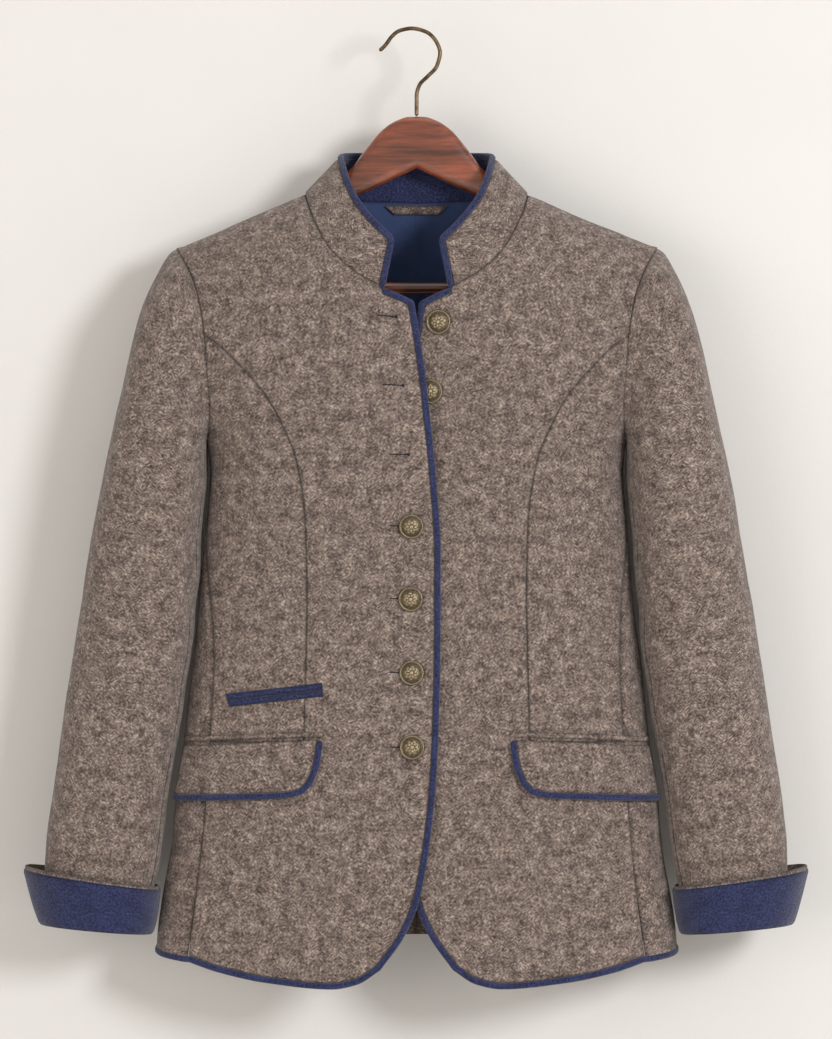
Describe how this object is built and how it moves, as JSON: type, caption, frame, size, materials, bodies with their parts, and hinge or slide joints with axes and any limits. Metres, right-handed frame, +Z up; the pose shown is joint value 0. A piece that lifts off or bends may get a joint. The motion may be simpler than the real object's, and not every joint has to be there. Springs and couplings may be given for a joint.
{
  "type": "jacket on a hanger",
  "caption": "Fitted stand-collar jacket of thick milled wool with felt piping, flap pockets and turned-back cuffs, buttoned on a wooden hanger and hung by its wire hook",
  "frame": {"origin": "inside top of the hook's bend, where the hanger rests on a rail or nail", "axes": "+Z up, +X to the wearer's left, and the jacket's front faces -Y"},
  "size_m": [0.6698, 0.1193, 0.8179],
  "materials": {
    "wool": "thick milled wool, grey-brown melange with light and dark flecks",
    "felt": "blue wool felt",
    "lining": "smooth blue lining",
    "buttons": "aged brass, dark in the hollows",
    "hanger_wood": "varnished mahogany",
    "hook": "dark bronze wire"
  },
  "bodies": {
    "root": {"back_left": "wool", "back_lining_left": "lining", "back_lining_right": "lining", "back_right": "wool", "button_1": "buttons", "button_2": "buttons", "button_3": "buttons", "button_4": "buttons", "button_5": "buttons", "button_6": "buttons", "button_7": "buttons", "collar": "wool", "collar_facing": "felt", "collar_piping": "felt", "cuff_facing_left": "felt", "cuff_facing_right": "felt", "cuff_left": "wool", "cuff_right": "wool", "flap_jet_left": "wool", "flap_jet_right": "wool", "flap_left": "wool", "flap_piping_left": "felt", "flap_piping_right": "felt", "flap_right": "wool", "front_left": "wool", "front_piping_left": "felt", "front_piping_right": "felt", "front_right": "wool", "front_side_left": "wool", "front_side_right": "wool", "hanger_arm_left": "hanger_wood", "hanger_arm_right": "hanger_wood", "hanger_bar": "hanger_wood", "hanger_hook": "hook", "neck_loop": "wool", "pocket_welt_lower": "felt", "pocket_welt_upper": "felt", "sleeve_top_left": "wool", "sleeve_top_right": "wool", "sleeve_under_left": "wool", "sleeve_under_right": "wool"}
  },
  "joints": []
}
